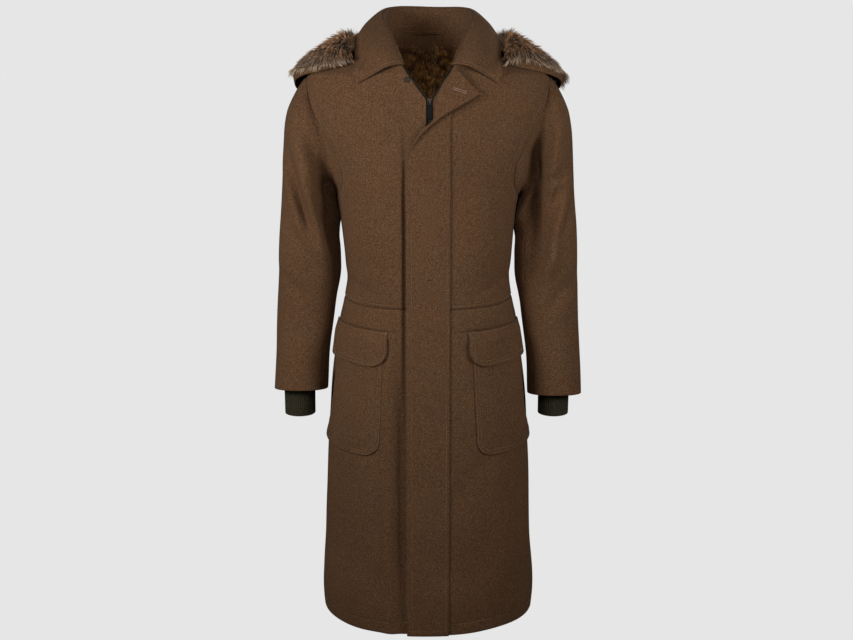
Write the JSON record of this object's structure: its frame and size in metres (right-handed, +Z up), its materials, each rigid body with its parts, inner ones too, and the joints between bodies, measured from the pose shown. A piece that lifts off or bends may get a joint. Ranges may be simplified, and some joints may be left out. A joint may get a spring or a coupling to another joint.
{
  "type": "hooded loden coat",
  "caption": "Long hooded loden coat filled out as if worn, with turn-down collar, fur-lined hood thrown back, zip under a storm flap and flap pockets.",
  "frame": {"origin": "middle of the neck opening, level with the side neck points, where the wearer's shoulders carry the coat", "axes": "+Z up the wearer's spine, -Y out of the front, +X to the viewer's right seen from the front"},
  "size_m": [0.6296, 0.39, 1.2343],
  "materials": {
    "loden": "felted wool, matt with a soft nap",
    "hood_fur": "long mottled pile",
    "lining_fur": "dense dark pile",
    "knit_rib": "ribbed knit",
    "zip_tape": "woven tape",
    "zip_metal": "dark enamel, satin"
  },
  "bodies": {
    "coat": {"front_upper_left": "loden", "front_upper_right": "loden", "back_upper": "loden", "front_skirt_left": "loden", "front_skirt_right": "loden", "back_skirt": "loden", "sleeve_top_left": "loden", "sleeve_under_left": "loden", "sleeve_top_right": "loden", "sleeve_under_right": "loden", "cuff_rib_left": "knit_rib", "cuff_rib_right": "knit_rib", "collar_stand": "loden", "collar_leaf": "loden", "hanger_loop": "loden", "hood_fur": "hood_fur", "hood_side_left": "loden", "hood_centre": "loden", "hood_side_right": "loden", "storm_flap": "loden", "zip_tape_left": "zip_tape", "zip_tape_right": "zip_tape", "zip_slider": "zip_metal", "neck_button": "zip_metal", "pocket_patch_left": "loden", "pocket_patch_right": "loden", "pocket_flap_left": "loden", "pocket_flap_right": "loden", "lining_back": "lining_fur"},
    "zip_pull": {"zip_pull": "zip_metal"}
  },
  "joints": [
    {"name": "pull_swing", "type": "hinge", "parent": "coat", "child": "zip_pull", "pos_m": [0.003, -0.12631, -0.09148], "axis": [-1, 0, 0], "range_deg": [0, 150]}
  ]
}
